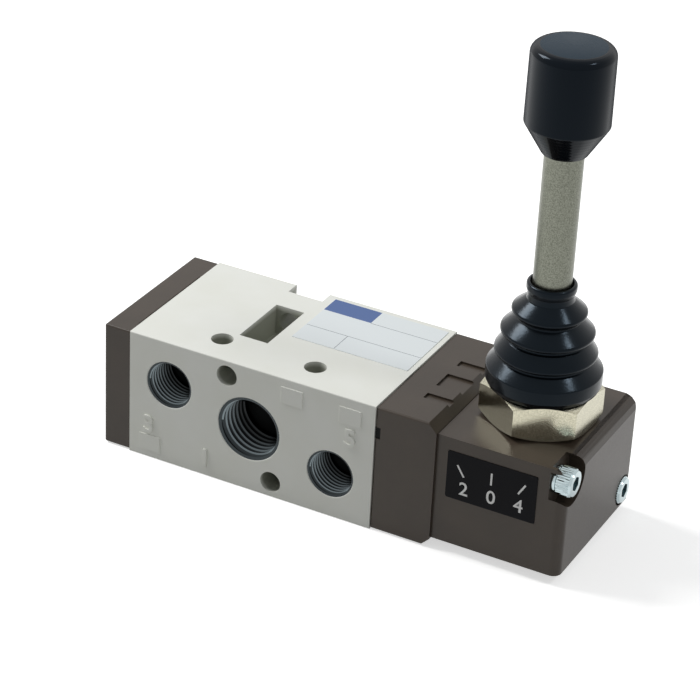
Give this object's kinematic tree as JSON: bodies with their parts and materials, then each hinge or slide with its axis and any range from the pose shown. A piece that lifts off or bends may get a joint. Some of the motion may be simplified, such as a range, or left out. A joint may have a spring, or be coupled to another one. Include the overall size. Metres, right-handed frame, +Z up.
{
  "type": "hand lever air valve",
  "caption": "Inline spool air valve with a sprung hand lever in a rubber boot, threaded ports on two faces, for hand control of compressed air.",
  "frame": {"origin": "middle of the body block's bottom face, under the supply port", "axes": "+X along the spool towards the lever, -Y out of the face with the supply and exhaust ports, +Z up along the lever"},
  "size_m": [0.0969, 0.0336, 0.097],
  "materials": {
    "body_paint": "satin cream paint on die-cast aluminium",
    "brown_paint": "satin dark brown-grey paint",
    "seal_rubber": "black nitrile rubber",
    "zinc_steel": "bright zinc plate",
    "bright_steel": "ground steel",
    "brass": "turned brass",
    "spool_aluminium": "hard anodised aluminium",
    "nickel_rod": "satin nickel plate",
    "nickel_nut": "bright warm nickel plate",
    "black_knob": "gloss black anodised",
    "boot_rubber": "glossy black moulded rubber",
    "dial_black": "printed black film",
    "label_white": "white film"
  },
  "bodies": {
    "valve": {"valve_body": "body_paint", "end_cap": "brown_paint", "end_cap_seal": "seal_rubber", "end_cap_screws": "zinc_steel", "adapter_gasket": "seal_rubber", "adapter_block": "brown_paint", "rod_guide": "brass", "rod_seal": "seal_rubber", "seal_retainer": "bright_steel", "handle_block": "brown_paint", "position_plate": "dial_black", "block_screws": "zinc_steel", "spring_washers": "zinc_steel", "left_return_spring": "bright_steel", "right_return_spring": "bright_steel", "gland_nut": "nickel_nut", "ball_seat": "brass", "rubber_boot": "boot_rubber", "rating_plate": "label_white"},
    "hand_lever": {"pivot_ball": "bright_steel", "pivot_pin": "bright_steel", "lever_rod": "nickel_rod", "knob": "black_knob"},
    "spool_set": {"spool": "spool_aluminium", "spool_seals": "seal_rubber", "spool_yoke": "bright_steel", "yoke_pin": "bright_steel"}
  },
  "joints": [
    {"name": "lever_tilt", "type": "hinge", "parent": "valve", "child": "hand_lever", "pos_m": [0.05135, 0, 0.026], "axis": [0, 1, 0], "range_deg": [-12.5, 12.5], "stiffness_Nm_per_rad": 1.2, "deforming": ["rubber_boot"]},
    {"name": "spool_slide", "type": "slide", "parent": "valve", "child": "spool_set", "axis": [1, 0, 0], "range_m": [-0.0028, 0.0028], "deforming": ["left_return_spring", "right_return_spring"]}
  ],
  "couplings": [
    {"joint": "spool_slide", "follows": "lever_tilt", "m_per_rad": -0.0128}
  ]
}
